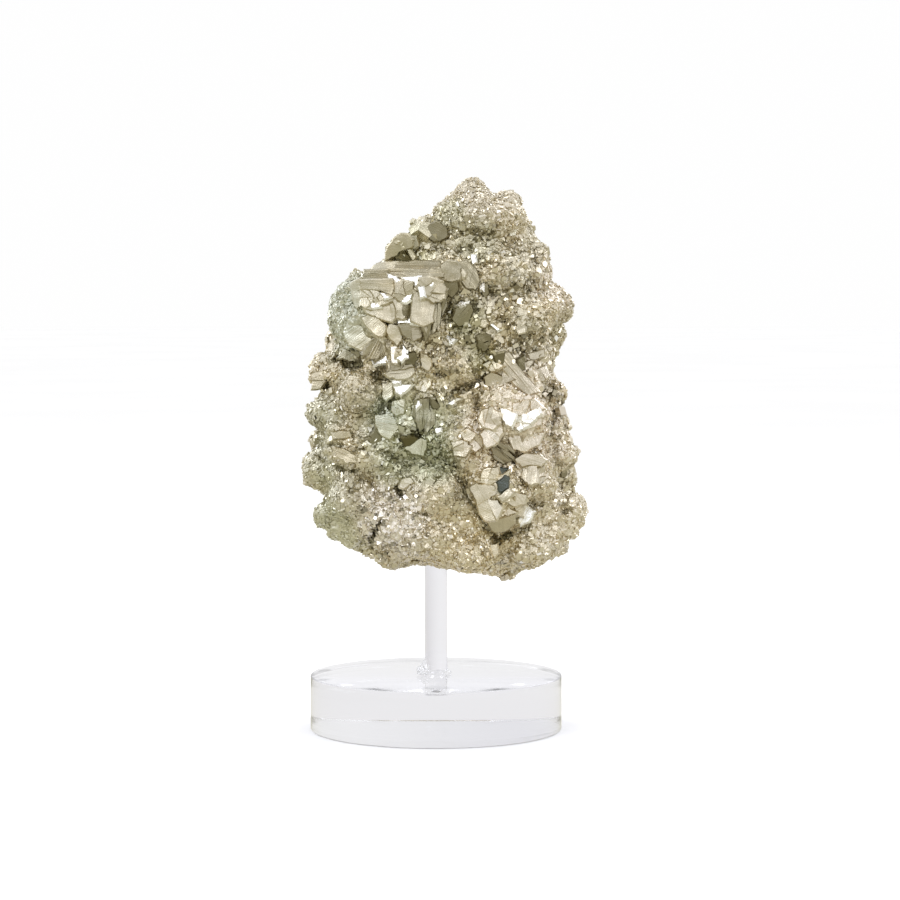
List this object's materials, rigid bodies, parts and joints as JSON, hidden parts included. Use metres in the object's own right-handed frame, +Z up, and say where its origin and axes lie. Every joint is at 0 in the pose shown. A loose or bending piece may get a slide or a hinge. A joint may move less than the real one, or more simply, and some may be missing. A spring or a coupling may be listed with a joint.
{
  "type": "pyrite specimen",
  "caption": "Rough, sparkling pyrite crystal cluster carried on a clear acrylic rod in a thick clear disc, for display on a shelf or desk.",
  "frame": {"origin": "centre of the disc's underside, where the stand rests", "axes": "+Z up along the rod, -Y towards the viewer of the specimen's front, +X to that viewer's right"},
  "size_m": [0.1017, 0.0889, 0.1954],
  "materials": {
    "pyrite": "gloss",
    "acrylic": "polished",
    "cement": "gloss"
  },
  "bodies": {
    "root": {"pyrite": "pyrite", "rod": "acrylic", "base": "acrylic", "glue_bead": "cement"}
  },
  "joints": []
}
